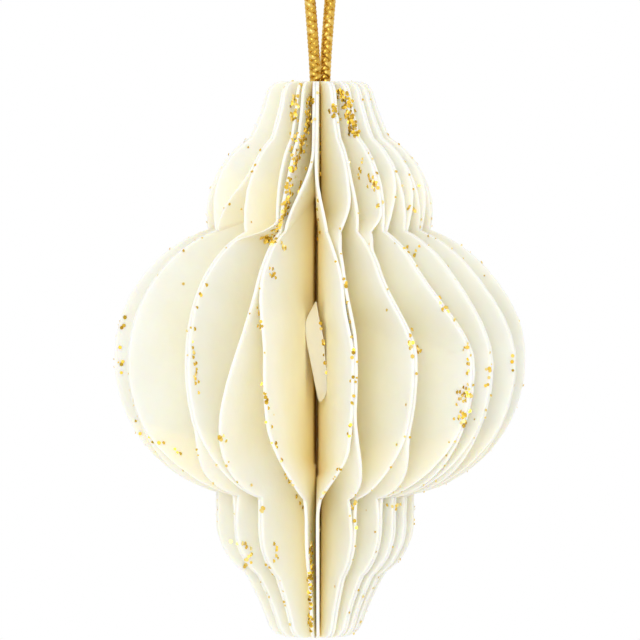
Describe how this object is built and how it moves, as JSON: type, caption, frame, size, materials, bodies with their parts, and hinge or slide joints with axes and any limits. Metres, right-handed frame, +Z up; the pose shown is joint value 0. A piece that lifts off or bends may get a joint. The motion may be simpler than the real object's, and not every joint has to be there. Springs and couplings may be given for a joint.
{
  "type": "honeycomb paper ornament",
  "caption": "Hanging lantern-shaped ornament of thick cream paper leaves opened like a honeycomb round a spine, on a doubled gold cord.",
  "frame": {"origin": "inside the top of the hanging loop, where a hook or a twig carries the ornament; it is hung and can't stand by itself", "axes": "+Z up along the spine; the front, with the open fold and its small paper scrap, faces -Y"},
  "size_m": [0.074, 0.0732, 0.1642],
  "materials": {
    "leaf_paper": "matt cream handmade paper with gold glitter on the edges",
    "spine_paper": "plain matt paper strip",
    "gold_cord": "braided metallic gold cord"
  },
  "bodies": {
    "root": {"leaf_01": "leaf_paper", "leaf_02": "leaf_paper", "leaf_03": "leaf_paper", "leaf_04": "leaf_paper", "leaf_05": "leaf_paper", "leaf_06": "leaf_paper", "leaf_07": "leaf_paper", "leaf_08": "leaf_paper", "leaf_09": "leaf_paper", "leaf_10": "leaf_paper", "leaf_11": "leaf_paper", "leaf_12": "leaf_paper", "leaf_13": "leaf_paper", "leaf_14": "leaf_paper", "leaf_15": "leaf_paper", "leaf_16": "leaf_paper", "leaf_17": "leaf_paper", "leaf_18": "leaf_paper", "leaf_19": "leaf_paper", "leaf_20": "leaf_paper", "leaf_21": "leaf_paper", "leaf_22": "leaf_paper", "leaf_23": "leaf_paper", "leaf_24": "leaf_paper", "leaf_25": "leaf_paper", "leaf_26": "leaf_paper", "leaf_27": "leaf_paper", "leaf_28": "leaf_paper", "leaf_29": "leaf_paper", "leaf_30": "leaf_paper", "leaf_31": "leaf_paper", "leaf_32": "leaf_paper", "leaf_33": "leaf_paper", "leaf_34": "leaf_paper", "leaf_35": "leaf_paper", "leaf_36": "leaf_paper", "inner_tab": "leaf_paper", "spine_strip": "spine_paper", "hanging_cord": "gold_cord"}
  },
  "joints": []
}
